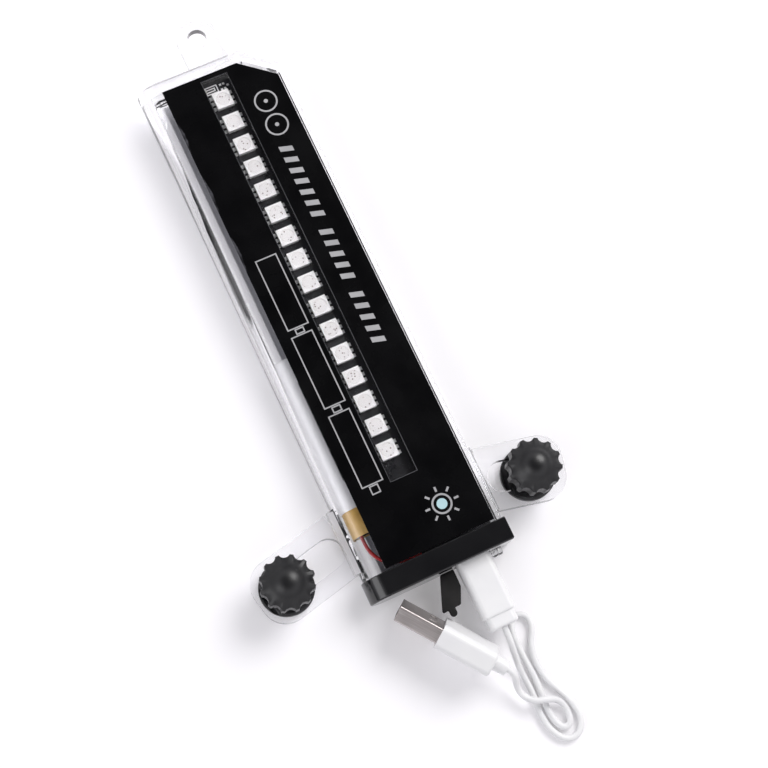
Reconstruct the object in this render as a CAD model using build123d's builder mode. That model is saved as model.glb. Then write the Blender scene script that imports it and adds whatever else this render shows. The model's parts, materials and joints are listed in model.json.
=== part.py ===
from build123d import *
from math import cos, hypot, pi, radians, sin, sqrt, tan
import os

# A clear wheel light that straddles the spokes of a bicycle wheel. It lies on its back face:
# +Z points out of the label side, +Y towards the rim lug and +X to the square side of the case.
# The origin is the centre of the back face of the body. Lengths are in millimetres.

os.makedirs("parts", exist_ok=True)

# Case: one clear moulding, round on the left, square on the right, with a cut corner
case_width = 41.3
case_thickness = 13.0
body_length = 160.5
corner_cut_x = 9.7
corner_cut_y = 7.8
face_wall = 1.6
side_wall = 1.7
top_wall = 3.0
corner_wall = 2.4
square_edge_radius = 0.6

# End cap, a shallow cup over a stepped spigot of the case, flush at the back
cap_length = 6.6
cap_end_wall = 1.6
cap_proud = 0.7
cap_edge_radius = 0.6
cap_lip_chamfer = 0.25
spigot_step = 0.9
gasket_thickness = 0.6

# Clearances that pieces share
fit_gap = 0.05
slip_gap = 0.1
cut_overrun = 1.0

# Rim lug with its tie hole
lug_width = 12.0
lug_hole_radius = 2.8
lug_hole_x = 2.6
lug_hole_reach = 10.6
plate_thickness = 3.0

# Slotted ears for the spoke clamps
ear_width = 18.6
ear_sweep = 12.3
ear_corner_radius = 7.0
ear_from_joint = 12.15
left_ear_reach = 28.6
right_ear_reach = 24.3
ear_rib_thickness = 1.1
ear_rib_height = 6.6
slot_width = 8.8
slot_tip_bar = 4.1
left_slot_root_gap = 1.1
right_slot_root_gap = 2.3
left_clamp_reach = 19.5
right_clamp_reach = 14.8

# Labels, stuck in shallow recesses of both faces, with a window over the lamps
label_side_gap = 1.9
label_top_gap = 3.2
label_end_gap = 0.5
label_corner_x = 9.8
label_corner_y = 7.9
label_thickness = 0.2
label_recess = 0.25
window_from_corner = 3.73
window_from_top = 1.73
window_from_end = 20.97
window_width = 7.9
window_corner_radius = 0.5

# Lamp strips
lamp_spacing = 7.5
lamp_size = 5.0
lamp_height = 1.5
lamp_dish_radius = 2.0
lamp_dish_depth = 0.3
lamp_resin_thickness = 0.2
strip_width = 9.8
strip_thickness = 0.8
strip_top_margin = 5.8
strip_end_margin = 12.5
strip_skew = 0.35
strip_off_window = 0.33
first_lamp_from_window = 6.32
pad_length = 0.9
pad_width = 1.0
pad_thickness = 0.15
pad_spacing = 1.7
pads_per_side = 3

# Carrier frame between the two strips
carrier_thickness = 4.2
carrier_width = 12.1
carrier_window_width = 7.0
carrier_window_length = 14.0
carrier_window_spacing = 21.0
carrier_rib_width = 3.0
carrier_rib_thickness = 2.0
carrier_rib_spacing = 45.0
carrier_bar_width = 3.2
carrier_arm_width = 2.8
carrier_arm_thickness = 1.0

# Battery pack
cell_thickness = 8.8
cell_flat = 4.0
cell_length = 46.0
cell_end_to_joint = 19.25
pad_foam_thickness = 0.5
pad_foam_length = 30.0
tape_length = 7.6
tape_thickness = 0.35
tape_height = 8.0
cell_board_width = 9.4
cell_board_thickness = 1.0

# Control board and what stands on it
board_width = 23.8
board_thickness = 0.8
board_length = 16.95
chip_length = 5.0
chip_width = 4.0
chip_height = 1.5
chip_lead_width = 0.4
chip_lead_spacing = 1.27
chip_leads_per_side = 4
chip_lead_reach = 1.0
chip_lead_height = 0.5
sensor_radius = 1.7
sensor_length = 8.0
sensor_from_port = 6.4

# Charging socket
port_from_right = 11.25
socket_width = 7.5
socket_height = 2.6
socket_length = 5.6
socket_wall = 0.25
socket_corner_radius = 0.8
socket_tongue_width = 3.4
socket_tongue_thickness = 0.6
socket_tongue_length = 3.6
port_hole_gap = 0.25
port_recess_width = 10.6
port_recess_height = 7.4
port_recess_depth = 0.75
port_recess_radius = 1.4

# Mode button
button_from_right = 4.15
button_radius = 1.6
button_flange_radius = 2.25
button_flange_thickness = 0.6
button_stand_out = 2.0
button_travel = 0.5
button_cross_width = 0.5
button_cross_depth = 0.4
switch_width = 4.4
switch_height = 3.2
switch_depth = 3.4
plunger_radius = 0.9
plunger_stand_out = 0.65

# Rubber port cover, pulled out and swung aside
cover_root_left_from_port = 9.9
cover_root_right_from_port = 6.0
cover_thickness = 1.6
cover_root_radius = 0.75
cover_side_from_port = 6.1
cover_side_reach = 5.15
cover_end_right_from_port = 8.2
cover_end_right_reach = 9.65
cover_end_left_from_port = 13.9
cover_end_left_reach = 9.95
cover_tab_from_port = 11.0
cover_tab_reach = 11.95
cover_tab_width = 1.9
cover_corner_radius = 0.5

# Spoke clamps
knob_scallop_count = 12
knob_radius = 7.65
knob_scallop_radius = 1.8
knob_scallop_reach = 8.55
knob_tip_radius = 0.3
knob_height = 10.3
knob_rim_height = 5.9
knob_shoulder_height = 7.1
knob_shoulder_radius = 6.3
knob_dome_radius = 4.7
knob_dome_start = 7.7
knob_collar_radius = 6.2
knob_collar_height = 0.6
insert_radius = 4.0
insert_length = 6.4
bolt_radius = 2.5
bolt_length = 14.2
bolt_chamfer = 0.5
bolt_head_width = 8.0
bolt_head_height = 1.6
bolt_bore_radius = 2.7
bolt_bore_top = 8.3
washer_radius = 6.0
washer_thickness = 0.6
foot_radius = 7.8
foot_thickness = 2.4
foot_floor_gap = 0.4
foot_edge_chamfer = 0.7
boss_length = 9.4
boss_width = 8.4
boss_height = 3.2
spoke_groove_radius = 1.05
spoke_groove_reach = 6.35

# Charging lead
cord_diameter = 1.8
cord_floor_gap = 0.05
plug_body_width = 9.6
plug_body_height = 6.6
plug_body_length = 17.3
plug_body_radius = 1.6
plug_neck_width = 8.6
plug_neck_height = 5.2
plug_neck_length = 3.4
plug_shell_width = 6.85
plug_shell_height = 1.85
plug_shell_length = 5.0
plug_shell_wall = 0.25
plug_shell_radius = 0.6
supply_joint_from_port = 16.7
supply_joint_reach = 14.15
supply_heading = -53.4
supply_lean = 18.0
supply_body_height = 14.5
supply_body_thickness = 7.2
supply_body_length = 16.4
supply_body_radius = 2.0
supply_neck_start_radius = 2.3
supply_neck_end_radius = 2.1
supply_neck_length = 4.0
supply_shell_height = 12.0
supply_shell_thickness = 4.5
supply_shell_length = 12.8
supply_shell_wall = 0.35
supply_shell_radius = 0.5
supply_root = 3.5
supply_tongue_thickness = 1.9
supply_contact_width = 1.0
supply_contact_length = 8.4
supply_contact_thickness = 0.15
supply_contact_spacing = 2.3
supply_latch_hole = 2.2
supply_latch_spacing = 5.4
supply_latch_from_body = 3.4

# Wires inside the case
wire_diameter = 1.0
strip_wire_diameter = 0.9
strip_wire_spacing = 2.0
strip_wire_count = 3

# Places that follow from the sizes above
left = -case_width / 2
right = case_width / 2
top_y = body_length / 2
end_y = -body_length / 2
joint_y = end_y + cap_length
floor_y = end_y + cap_end_wall
spigot_end_y = floor_y + gasket_thickness
middle_z = case_thickness / 2
round_radius = case_thickness / 2
flat_left = left + round_radius
inner_left = left + face_wall
inner_right = right - side_wall
inner_low = face_wall
inner_high = case_thickness - face_wall
inner_top_y = top_y - top_wall
ear_root_y = joint_y + ear_from_joint
plate_low = middle_z - plate_thickness / 2
plate_high = middle_z + plate_thickness / 2
label_left = flat_left
label_right = right - label_side_gap
label_top = top_y - label_top_gap
label_end = joint_y + label_end_gap
window_x = label_right - label_corner_x - window_from_corner - window_width / 2
window_length = label_top - label_end - window_from_top - window_from_end
window_top = label_top - window_from_top
port_x = right - port_from_right
button_x = right - button_from_right
sensor_x = port_x - sensor_from_port
carrier_low = middle_z - carrier_thickness / 2
carrier_high = middle_z + carrier_thickness / 2
strip_x = window_x - strip_off_window
lamp_count = int((window_length - lamp_size) / lamp_spacing)
first_lamp_y = window_top - first_lamp_from_window
lamp_run = (lamp_count - 1) * lamp_spacing
carrier_window_count = int(lamp_run / carrier_window_spacing) + 1
carrier_rib_count = int(lamp_run / carrier_rib_spacing) + 1
last_lamp_y = first_lamp_y - lamp_run
lamp_middle_y = (first_lamp_y + last_lamp_y) / 2
strip_length = lamp_run + strip_top_margin + strip_end_margin
strip_shift = (strip_top_margin - strip_end_margin) / 2
carrier_end_y = last_lamp_y - strip_end_margin
carrier_bar_y = carrier_end_y - carrier_bar_width / 2
port_z = carrier_low + board_thickness + socket_height / 2
recess_floor_y = end_y + port_recess_depth


def finish(part, label):
    part.label = label
    export_step(part, f"parts/{label}.step")


def d_section(y, x_low, x_high, z_low, z_high):
    # The case's D outline, seen from the cap end, on a plane square to Y
    radius = (z_high - z_low) / 2
    with BuildSketch(Plane.XZ.offset(-y)) as section:
        with BuildLine():
            Polyline((x_low + radius, z_low), (x_high, z_low), (x_high, z_high), (x_low + radius, z_high))
            ThreePointArc((x_low + radius, z_high), (x_low, z_low + radius), (x_low + radius, z_low))
        make_face()
    return section.sketch


def corner_wedge(wall):
    # The plan of what the cut corner takes away, moved inwards by a wall
    reach = corner_cut_y * right + corner_cut_x * (top_y - corner_cut_y)
    reach = reach - wall * hypot(corner_cut_x, corner_cut_y)
    beyond_x = right + cut_overrun
    beyond_y = top_y + cut_overrun
    with BuildSketch() as wedge:
        with BuildLine():
            Polyline(
                ((reach - corner_cut_x * beyond_y) / corner_cut_y, beyond_y),
                (beyond_x, beyond_y),
                (beyond_x, (reach - corner_cut_y * beyond_x) / corner_cut_x),
                close=True,
            )
        make_face()
    return wedge.sketch


def slot_plane(side, reach, z):
    # A level plane on an ear, its local X pointing out along the slot
    sweep = radians(ear_sweep)
    outward = (side * cos(sweep), -sin(sweep), 0)
    x = side * (case_width / 2 + reach * cos(sweep))
    y = ear_root_y - reach * sin(sweep)
    return Plane(origin=(x, y, z), x_dir=outward, z_dir=(0, 0, 1))


def label_outline(shrink):
    # The label in plan, with its cut corner
    with BuildSketch() as outline:
        with BuildLine():
            Polyline(
                (label_left + shrink, label_end + shrink),
                (label_right - shrink, label_end + shrink),
                (label_right - shrink, label_top - label_corner_y),
                (label_right - label_corner_x, label_top - shrink),
                (label_left + shrink, label_top - shrink),
                close=True,
            )
        make_face()
    return outline.sketch


def tube(points, diameter, kink_share=0.45):
    # A round tube along straight runs, joined by arcs as large as the runs allow
    spots = [Vector(*point) for point in points]
    radii = []
    for before, here, after in zip(spots, spots[1:], spots[2:]):
        run = min((here - before).length, (after - here).length)
        turn = (here - before).get_angle(after - here)
        radii.append(kink_share * run / tan(radians(turn) / 2))
    with BuildPart() as cable:
        with BuildLine() as route:
            FilletPolyline(*spots, radius=radii)
        with BuildSketch(Plane(origin=route.line @ 0, z_dir=route.line % 0)):
            Circle(diameter / 2)
        sweep()
    return cable.part, route.wires()[0], radii


# Clear case with its lug and a rib on each side that carries an ear
rib_face_x = case_width / 2 + ear_rib_thickness
with BuildPart() as case:
    extrude(d_section(top_y, left, right, 0, case_thickness), amount=top_y - joint_y)
    square_edges = case.edges().filter_by(Axis.Y).sort_by(Axis.X)[-2:]
    fillet(square_edges, square_edge_radius)
    extrude(corner_wedge(0), amount=case_thickness, mode=Mode.SUBTRACT)
    spigot = d_section(
        joint_y, left + spigot_step, right - spigot_step, spigot_step, case_thickness - spigot_step
    )
    extrude(spigot, amount=joint_y - spigot_end_y)
    with BuildSketch(Plane.XY.offset(plate_low)):
        with Locations((lug_hole_x, top_y + lug_hole_reach / 2 - top_wall / 2)):
            Rectangle(lug_width, lug_hole_reach + top_wall)
        with Locations((lug_hole_x, top_y + lug_hole_reach)):
            Circle(lug_width / 2)
    extrude(amount=plate_thickness)
    rib_width = ear_rib_thickness + face_wall / 2
    with BuildSketch(Plane.XY.offset(middle_z - ear_rib_height / 2)):
        with Locations((rib_width / 2 - rib_face_x, ear_root_y), (rib_face_x - rib_width / 2, ear_root_y)):
            Rectangle(rib_width, ear_width / cos(radians(ear_sweep)))
    extrude(amount=ear_rib_height)
    hollow = d_section(inner_top_y, inner_left, inner_right, inner_low, inner_high)
    with BuildPart(mode=Mode.SUBTRACT):
        extrude(hollow, amount=inner_top_y - spigot_end_y + cut_overrun)
        extrude(corner_wedge(corner_wall), amount=case_thickness, mode=Mode.SUBTRACT)
    with BuildSketch(Plane.XY.offset(plate_low)):
        with Locations((lug_hole_x, top_y + lug_hole_reach)):
            Circle(lug_hole_radius)
    extrude(amount=plate_thickness, mode=Mode.SUBTRACT)
    with BuildSketch(Plane.XY.offset(case_thickness - label_recess)):
        add(label_outline(0))
    extrude(amount=label_recess, mode=Mode.SUBTRACT)
    with BuildSketch():
        add(label_outline(0))
    extrude(amount=label_recess, mode=Mode.SUBTRACT)
finish(case.part, "clear_case")

# Slotted ears for the spoke clamps, cut back to the outer faces of the ribs
for side, word, ear_reach, root_gap in (
    (-1, "left", left_ear_reach, left_slot_root_gap), (1, "right", right_ear_reach, right_slot_root_gap),
):
    slot_length = ear_reach - slot_tip_bar - root_gap
    with BuildPart() as ear:
        with BuildSketch(slot_plane(side, 0, plate_low)) as plan:
            Rectangle(ear_reach, ear_width, align=(Align.MIN, Align.CENTER))
            fillet(plan.vertices().sort_by(Axis.X)[-2:], ear_corner_radius)
        extrude(amount=plate_thickness)
        with BuildSketch(slot_plane(side, root_gap + slot_length / 2, plate_low)):
            SlotOverall(slot_length, slot_width)
        extrude(amount=plate_thickness, mode=Mode.SUBTRACT)
        with Locations((0, ear_root_y, plate_low)):
            Box(2 * rib_face_x, 2 * ear_width, plate_thickness,
                align=(Align.CENTER, Align.CENTER, Align.MIN), mode=Mode.SUBTRACT)
    finish(ear.part, f"{word}_ear")

# Labels, front and back, with the lamp window
for name, low in (("front_label", case_thickness - label_recess), ("rear_label", label_recess - label_thickness)):
    with BuildPart() as label:
        with BuildSketch(Plane.XY.offset(low)):
            add(label_outline(fit_gap))
            with Locations((window_x, window_top - window_length / 2)):
                RectangleRounded(window_width, window_length, window_corner_radius, mode=Mode.SUBTRACT)
        extrude(amount=label_thickness)
    finish(label.part, name)

# End cap with its port recess, port hole, button hole and cover hole
cap_low_x = left - cap_proud
cap_high_x = right + cap_proud
cap_high_z = case_thickness + cap_proud
with BuildPart() as cap:
    extrude(d_section(joint_y, cap_low_x, cap_high_x, 0, cap_high_z), amount=cap_length)
    fillet(cap.faces().sort_by(Axis.Y)[0].edges(), cap_edge_radius)
    chamfer(cap.faces().sort_by(Axis.Y)[-1].edges(), cap_lip_chamfer)
    pocket_step = spigot_step - fit_gap
    pocket = d_section(
        joint_y, left + pocket_step, right - pocket_step, pocket_step, case_thickness - pocket_step
    )
    extrude(pocket, amount=joint_y - floor_y, mode=Mode.SUBTRACT)
    with BuildSketch(Plane.XZ.offset(-recess_floor_y)):
        with Locations((port_x, port_z)):
            RectangleRounded(port_recess_width, port_recess_height, port_recess_radius)
    extrude(amount=port_recess_depth, mode=Mode.SUBTRACT)
    with BuildSketch(Plane.XZ.offset(-floor_y)):
        with Locations((port_x, port_z)):
            hole_width = socket_width + 2 * port_hole_gap
            hole_height = socket_height + 2 * port_hole_gap
            RectangleRounded(hole_width, hole_height, socket_corner_radius)
        with Locations((button_x, port_z)):
            Circle(button_radius + fit_gap)
    extrude(amount=cap_end_wall, mode=Mode.SUBTRACT)
finish(cap.part, "end_cap")

# Gasket between the spigot's end and the cap's floor
with BuildPart() as gasket:
    rim = d_section(
        spigot_end_y, left + spigot_step, right - spigot_step, spigot_step, case_thickness - spigot_step
    )
    extrude(rim, amount=gasket_thickness)
    inside = d_section(spigot_end_y, inner_left, inner_right, inner_low, inner_high)
    extrude(inside, amount=gasket_thickness, mode=Mode.SUBTRACT)
finish(gasket.part, "cap_gasket")


def strip_plane(z):
    # The strips are stuck on slightly askew, so they have a turned plane of their own
    skew = radians(strip_skew)
    return Plane(origin=(strip_x, lamp_middle_y, z), x_dir=(cos(skew), -sin(skew), 0), z_dir=(0, 0, 1))


def mirrored(part, front, name):
    # The rear strip is the front one turned over about the middle of the case
    if front:
        finish(part, name)
    else:
        finish(part.mirror(Plane.XY.offset(middle_z)), name)


# Lamp strips: board, lamps, resin in their dishes, and solder pads, front and rear
board_top = carrier_high + strip_thickness
lamp_grid = GridLocations(0, lamp_spacing, 1, lamp_count).locations
for front, word in ((True, "front"), (False, "rear")):
    with BuildPart() as strip:
        with BuildSketch(strip_plane(carrier_high)):
            with Locations((0, strip_shift)):
                Rectangle(strip_width, strip_length)
        extrude(amount=strip_thickness)
    mirrored(strip.part, front, f"{word}_strip")

    with BuildPart() as lamps:
        with BuildSketch(strip_plane(board_top)):
            with Locations(lamp_grid):
                Rectangle(lamp_size, lamp_size)
        extrude(amount=lamp_height)
        with BuildSketch(strip_plane(board_top + lamp_height - lamp_dish_depth)):
            with Locations(lamp_grid):
                Circle(lamp_dish_radius)
        extrude(amount=lamp_dish_depth, mode=Mode.SUBTRACT)
    mirrored(lamps.part, front, f"{word}_lamps")

    with BuildPart() as resin:
        with BuildSketch(strip_plane(board_top + lamp_height - lamp_dish_depth)):
            with Locations(lamp_grid):
                Circle(lamp_dish_radius - fit_gap)
        extrude(amount=lamp_resin_thickness)
    mirrored(resin.part, front, f"{word}_lamp_resin")

    with BuildPart() as pads:
        with BuildSketch(strip_plane(board_top)):
            for spot in lamp_grid:
                with Locations(spot.position):
                    with GridLocations(lamp_size + pad_length, pad_spacing, 2, pads_per_side):
                        Rectangle(pad_length, pad_width)
        extrude(amount=pad_thickness)
    mirrored(pads.part, front, f"{word}_solder_pads")

# Carrier: the ladder between the strips, its ribs to the square side, and the arms under the board
carrier_left = strip_x - carrier_width / 2
carrier_right = strip_x + carrier_width / 2
carrier_top_y = inner_top_y - slip_gap
rib_right = inner_right - slip_gap
arm_end_y = spigot_end_y + carrier_arm_thickness
with BuildPart() as carrier:
    with BuildSketch(Plane.XY.offset(carrier_low)):
        with Locations((strip_x, (carrier_top_y + carrier_end_y) / 2)):
            Rectangle(carrier_width, carrier_top_y - carrier_end_y)
        with Locations(((carrier_left + rib_right) / 2, carrier_bar_y)):
            Rectangle(rib_right - carrier_left, carrier_bar_width)
        with Locations((strip_x, lamp_middle_y)):
            with GridLocations(0, carrier_window_spacing, 1, carrier_window_count):
                Rectangle(carrier_window_width, carrier_window_length, mode=Mode.SUBTRACT)
    extrude(amount=carrier_thickness)
    with BuildSketch(Plane.XY.offset(middle_z - carrier_rib_thickness / 2)):
        with Locations(((carrier_right + rib_right) / 2, lamp_middle_y)):
            with GridLocations(0, carrier_rib_spacing, 1, carrier_rib_count):
                Rectangle(rib_right - carrier_right, carrier_rib_width)
    extrude(amount=carrier_rib_thickness)
    with BuildSketch(Plane.XY.offset(carrier_low)):
        for arm_x in (carrier_left + carrier_arm_width / 2, port_x + socket_tongue_width):
            with Locations((arm_x, (carrier_end_y + arm_end_y) / 2)):
                Rectangle(carrier_arm_width, carrier_end_y - arm_end_y)
    extrude(amount=-carrier_arm_thickness)
finish(carrier.part, "carrier")


def obround(y, height, flat, centre_x):
    # The rounded section of a soft cell or of its wrap, square to Y
    with BuildSketch(Plane.XZ.offset(-y)) as outline:
        with Locations((centre_x, middle_z)):
            SlotOverall(flat + height, height)
    return outline.sketch


# Battery: cell, foam pads, protection board and its tape
cell_x = flat_left + cell_flat / 2
cell_end_y = joint_y + cell_end_to_joint
cell_top_y = cell_end_y + cell_length
tape_end_y = cell_end_y - tape_length
with BuildPart() as cell:
    extrude(obround(cell_top_y, cell_thickness, cell_flat, cell_x), amount=cell_length)
    fillet(cell.faces().sort_by(Axis.Y)[-1].edges(), cell_board_thickness)
finish(cell.part, "battery_cell")

with BuildPart() as foam:
    pad_z = cell_thickness / 2 + pad_foam_thickness / 2
    with Locations((cell_x, (cell_top_y + cell_end_y) / 2, middle_z)):
        with Locations((0, 0, pad_z), (0, 0, -pad_z)):
            Box(cell_flat, pad_foam_length, pad_foam_thickness)
finish(foam.part, "battery_pads")

with BuildPart() as tape:
    extrude(obround(cell_end_y, tape_height, cell_flat, cell_x), amount=tape_length)
    tape_hollow = tape_height - 2 * tape_thickness
    extrude(obround(cell_end_y, tape_hollow, cell_flat, cell_x), amount=tape_length, mode=Mode.SUBTRACT)
finish(tape.part, "battery_tape")

with BuildPart() as cell_board:
    with Locations((cell_x, (cell_end_y + tape_end_y) / 2, middle_z)):
        Box(cell_board_width, tape_length, cell_board_thickness)
        with Locations((0, 0, cell_board_thickness)):
            Box(chip_length, chip_width, cell_board_thickness)
finish(cell_board.part, "battery_board")

# Control board and the parts soldered on it
board_end_y = floor_y + fit_gap + button_flange_thickness + button_travel + slip_gap
control_y = board_end_y + board_length / 2
control_x = carrier_left + board_width / 2
control_top = carrier_low + board_thickness
with BuildPart() as board:
    with Locations((control_x, control_y, carrier_low)):
        Box(board_width, board_length, board_thickness, align=(Align.CENTER, Align.CENTER, Align.MIN))
finish(board.part, "control_board")

chip_y = control_y - chip_width / 2
with BuildPart() as chip:
    with Locations((sensor_x - chip_length / 2, chip_y, control_top)):
        Box(chip_width, chip_length, chip_height, align=(Align.CENTER, Align.CENTER, Align.MIN))
        with GridLocations(chip_width + chip_lead_reach, chip_lead_spacing, 2, chip_leads_per_side):
            Box(chip_lead_reach, chip_lead_width, chip_lead_height,
                align=(Align.CENTER, Align.CENTER, Align.MIN))
finish(chip.part, "control_chip")

with BuildPart() as sensor:
    sensor_y = control_y + board_length / 2 - pad_foam_thickness
    with BuildSketch(Plane.XZ.offset(-sensor_y)):
        with Locations((sensor_x + sensor_length / 2, control_top + sensor_radius)):
            Circle(sensor_radius)
    extrude(amount=sensor_length)
    chamfer(sensor.faces().filter_by(Axis.Y).edges(), sensor_radius / 4)
finish(sensor.part, "motion_sensor")

# Charging socket: a steel shell with a contact tongue
socket_mouth_y = recess_floor_y + slip_gap
socket_back_y = socket_mouth_y + socket_length
with BuildPart() as socket:
    with BuildSketch(Plane.XZ.offset(-socket_back_y)):
        with Locations((port_x, port_z)):
            RectangleRounded(socket_width, socket_height, socket_corner_radius)
    extrude(amount=socket_length)
    with BuildSketch(Plane.XZ.offset(socket_wall - socket_back_y)):
        with Locations((port_x, port_z)):
            RectangleRounded(socket_width - 2 * socket_wall, socket_height - 2 * socket_wall,
                             socket_corner_radius - socket_wall)
    extrude(amount=socket_length, mode=Mode.SUBTRACT)
finish(socket.part, "charge_socket")

with BuildPart() as socket_tongue:
    with Locations((port_x, socket_back_y - socket_wall, port_z)):
        Box(socket_tongue_width, socket_tongue_length, socket_tongue_thickness,
            align=(Align.CENTER, Align.MAX, Align.CENTER))
finish(socket_tongue.part, "socket_tongue")

# Button, its switch and the switch's plunger
flange_inner_y = floor_y + fit_gap + button_flange_thickness
plunger_end_y = flange_inner_y + plunger_stand_out
with BuildPart() as button:
    with BuildSketch(Plane.XZ.offset(-flange_inner_y)):
        with Locations((button_x, port_z)):
            Circle(button_flange_radius)
    extrude(amount=button_flange_thickness)
    with BuildSketch(Plane.XZ.offset(-flange_inner_y)):
        with Locations((button_x, port_z)):
            Circle(button_radius)
    extrude(amount=flange_inner_y - end_y + button_stand_out)
    button_face_y = end_y - button_stand_out
    chamfer(button.faces().sort_by(Axis.Y)[0].edges(), button_cross_depth)
    with BuildSketch(Plane.XZ.offset(-button_face_y - button_cross_depth)):
        with Locations((button_x, port_z)):
            Rectangle(2 * button_radius, button_cross_width)
            Rectangle(button_cross_width, 2 * button_radius)
    extrude(amount=button_cross_depth, mode=Mode.SUBTRACT)
finish(button.part, "push_button")

with BuildPart() as switch:
    with Locations((button_x, plunger_end_y, control_top)):
        Box(switch_width, switch_depth, switch_height, align=(Align.CENTER, Align.MIN, Align.MIN))
    with BuildSketch(Plane.XZ.offset(-plunger_end_y - plunger_stand_out - button_travel)):
        with Locations((button_x, port_z)):
            Circle(plunger_radius + fit_gap)
    extrude(amount=plunger_stand_out + button_travel, mode=Mode.SUBTRACT)
finish(switch.part, "switch_body")

with BuildPart() as plunger:
    with BuildSketch(Plane.XZ.offset(-plunger_end_y - plunger_stand_out)):
        with Locations((button_x, port_z)):
            Circle(plunger_radius)
    extrude(amount=2 * plunger_stand_out)
finish(plunger.part, "switch_plunger")

# Port cover: a rubber tongue that hangs from its rounded root beside the plug
cover_root_y = end_y - slip_gap
with BuildPart() as cover:
    with BuildSketch(Plane.XY.offset(port_z - cover_thickness / 2)) as cover_outline:
        with BuildLine():
            Polyline(
                (port_x - cover_root_left_from_port, cover_root_y),
                (port_x - cover_root_right_from_port, cover_root_y),
                (port_x - cover_side_from_port, end_y - cover_side_reach),
                (port_x - cover_end_right_from_port, end_y - cover_end_right_reach),
                (port_x - cover_end_left_from_port, end_y - cover_end_left_reach),
                close=True,
            )
        make_face()
        fillet(cover_outline.vertices().sort_by(Axis.Y)[:3], cover_corner_radius)
        with Locations((port_x - cover_tab_from_port, end_y - cover_tab_reach + cover_tab_width)):
            SlotOverall(2 * cover_tab_width, cover_tab_width, rotation=90)
    extrude(amount=cover_thickness)
    root_edges = cover.faces().sort_by(Axis.Y)[-1].edges().filter_by(Axis.X)
    fillet(root_edges, cover_root_radius)
finish(cover.part, "port_cover")


# Spoke clamps: a scalloped knob on a brass insert above the ear, a foot with its bolt below it.
# They are drawn round Z with X along the slot and then set on each ear.
foot_top = foot_floor_gap + foot_thickness
washer_top = plate_high + washer_thickness
knob_low = washer_top + fit_gap
grip_low = knob_low + knob_collar_height
shoulder_z = knob_low + knob_shoulder_height
dome_z = knob_low + knob_dome_start
rim_z = knob_low + knob_rim_height
knob_top = knob_low + knob_height
clip_radius = knob_radius + slip_gap
dome_rise = knob_height - knob_dome_start
dome_curve = (knob_dome_radius**2 + dome_rise**2) / (2 * dome_rise)
dome_middle_z = knob_top - dome_curve + sqrt(dome_curve**2 - (knob_dome_radius / 2) ** 2)
with BuildPart() as grip:
    with BuildSketch(Plane.XY.offset(grip_low)):
        Circle(knob_radius)
        with PolarLocations(knob_scallop_reach, knob_scallop_count):
            Circle(knob_scallop_radius, mode=Mode.SUBTRACT)
    extrude(amount=knob_height)
    fillet(grip.edges().filter_by(Axis.Z), knob_tip_radius)
with BuildPart() as dome:
    with BuildSketch(Plane.XZ):
        with BuildLine():
            Polyline((0, 0), (clip_radius, 0), (clip_radius, rim_z))
            ThreePointArc(
                (clip_radius, rim_z),
                ((clip_radius + knob_shoulder_radius) / 2, (rim_z + dome_z) / 2),
                (knob_shoulder_radius, shoulder_z),
            )
            Line((knob_shoulder_radius, shoulder_z), (knob_dome_radius, dome_z))
            ThreePointArc(
                (knob_dome_radius, dome_z),
                (knob_dome_radius / 2, dome_middle_z),
                (0, knob_top),
            )
            Line((0, knob_top), (0, 0))
        make_face()
    revolve(axis=Axis.Z)
with BuildPart() as knob:
    add(grip.part & dome.part)
    with BuildSketch(Plane.XY.offset(knob_low)):
        Circle(knob_collar_radius)
    extrude(amount=knob_collar_height)
    with BuildSketch(Plane.XY.offset(knob_low)):
        Circle(insert_radius + fit_gap)
    extrude(amount=insert_length, mode=Mode.SUBTRACT)
    with BuildSketch(Plane.XY.offset(knob_low)):
        Circle(bolt_bore_radius)
    extrude(amount=bolt_bore_top, mode=Mode.SUBTRACT)

with BuildPart() as insert:
    with BuildSketch(Plane.XY.offset(knob_low)):
        Circle(insert_radius)
        Circle(bolt_radius + fit_gap, mode=Mode.SUBTRACT)
    extrude(amount=insert_length)

with BuildPart() as washer:
    with BuildSketch(Plane.XY.offset(plate_high)):
        Circle(washer_radius)
        Circle(bolt_radius + slip_gap, mode=Mode.SUBTRACT)
    extrude(amount=washer_thickness)

with BuildPart() as foot:
    with BuildSketch(Plane.XY.offset(foot_floor_gap)):
        Circle(foot_radius)
    extrude(amount=foot_thickness)
    chamfer(foot.faces().sort_by(Axis.Z)[-1].edges(), foot_edge_chamfer)
    with BuildSketch(Plane.XY.offset(foot_top)):
        SlotOverall(boss_length, boss_width)
    extrude(amount=boss_height)
    with BuildSketch(Plane.XZ):
        with Locations((spoke_groove_reach, foot_top), (-spoke_groove_reach, foot_top)):
            Circle(spoke_groove_radius)
    extrude(amount=foot_radius, both=True, mode=Mode.SUBTRACT)
    with BuildSketch(Plane.XY.offset(foot_floor_gap)):
        RegularPolygon((bolt_head_width + slip_gap) / 2, 6, major_radius=False)
    extrude(amount=bolt_head_height, mode=Mode.SUBTRACT)
    with BuildSketch(Plane.XY.offset(foot_floor_gap)):
        Circle(bolt_radius + fit_gap)
    extrude(amount=foot_thickness + boss_height, mode=Mode.SUBTRACT)

with BuildPart() as bolt:
    with BuildSketch(Plane.XY.offset(foot_floor_gap)):
        RegularPolygon(bolt_head_width / 2, 6, major_radius=False)
    extrude(amount=bolt_head_height)
    with BuildSketch(Plane.XY.offset(foot_floor_gap)):
        Circle(bolt_radius)
    extrude(amount=bolt_length)
    chamfer(bolt.faces().sort_by(Axis.Z)[-1].edges(), bolt_chamfer)

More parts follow.
